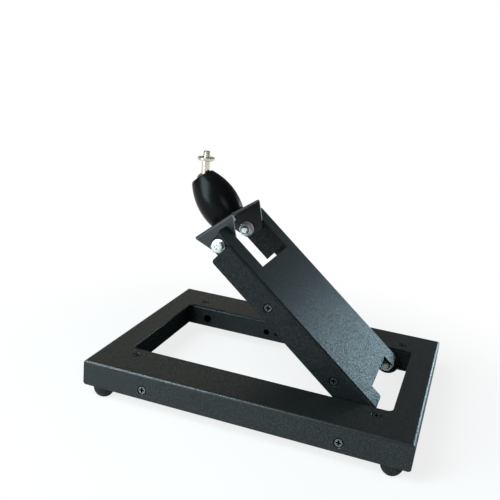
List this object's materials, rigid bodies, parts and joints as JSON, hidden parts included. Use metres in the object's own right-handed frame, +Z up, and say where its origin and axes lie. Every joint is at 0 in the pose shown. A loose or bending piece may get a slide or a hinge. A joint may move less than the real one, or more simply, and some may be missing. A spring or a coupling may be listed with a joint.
{
  "type": "projector stand",
  "caption": "Folding tabletop projector stand: low open steel base, channel arm hinged in its opening, tilting head bracket and a small ball head with a camera-thread stud.",
  "frame": {"origin": "on the floor under the middle of the base", "axes": "+Z up, +X along the base towards the arm's hinge, -Y the front"},
  "size_m": [0.28, 0.214, 0.2078],
  "materials": {
    "powder_coat": "fine sandy black powder coat",
    "inner_coat": "fine sandy black powder coat, inside",
    "bracket_coat": "satin black coat",
    "zinc": "bright zinc plate",
    "foot_rubber": "matt black rubber",
    "barrel_black": "gloss black",
    "stud_steel": "bright turned steel"
  },
  "bodies": {
    "base": {"base_top_shell": "powder_coat", "front_rail_channel": "inner_coat", "back_rail_channel": "inner_coat", "left_end_channel": "inner_coat", "right_end_channel": "inner_coat", "foot_front_left": "foot_rubber", "foot_front_right": "foot_rubber", "foot_back_left": "foot_rubber", "foot_back_right": "foot_rubber", "hinge_bolt_front": "zinc", "hinge_bolt_back": "zinc", "hinge_spacer_front": "zinc", "hinge_spacer_back": "zinc", "hinge_nut_front": "zinc", "hinge_nut_back": "zinc"},
    "arm": {"arm_channel": "powder_coat", "arm_back_cover": "inner_coat", "tilt_bolt_front": "zinc", "tilt_bolt_back": "zinc", "tilt_washer_front": "zinc", "tilt_washer_back": "zinc", "tilt_nut_front": "zinc", "tilt_nut_back": "zinc"},
    "head": {"head_bracket": "bracket_coat", "ball_head_screw": "zinc"},
    "barrel": {"ball_head_barrel": "barrel_black"},
    "ball": {"ball_stud": "stud_steel"},
    "disc": {"lock_disc": "stud_steel"}
  },
  "joints": [
    {"name": "arm_fold", "type": "hinge", "parent": "base", "child": "arm", "pos_m": [0.0956, 0, 0.0195], "axis": [0, 1, 0], "range_deg": [-29, 50.7]},
    {"name": "head_tilt", "type": "hinge", "parent": "arm", "child": "head", "pos_m": [-0.0522, 0, 0.13401], "axis": [0, 1, 0], "range_deg": [-10.5, 79.5]},
    {"name": "barrel_turn", "type": "hinge", "parent": "head", "child": "barrel", "pos_m": [-0.06022, 0, 0.15047], "axis": [-0.6455, 0, 0.7638], "continuous": true},
    {"name": "ball_tilt", "type": "hinge", "parent": "barrel", "child": "ball", "pos_m": [-0.08565, 0, 0.18057], "axis": [0, 1, 0], "range_deg": [-80, 0]},
    {"name": "disc_turn", "type": "hinge", "parent": "ball", "child": "disc", "pos_m": [-0.08565, 0, 0.20217], "axis": [0, 0, 1], "continuous": true}
  ]
}
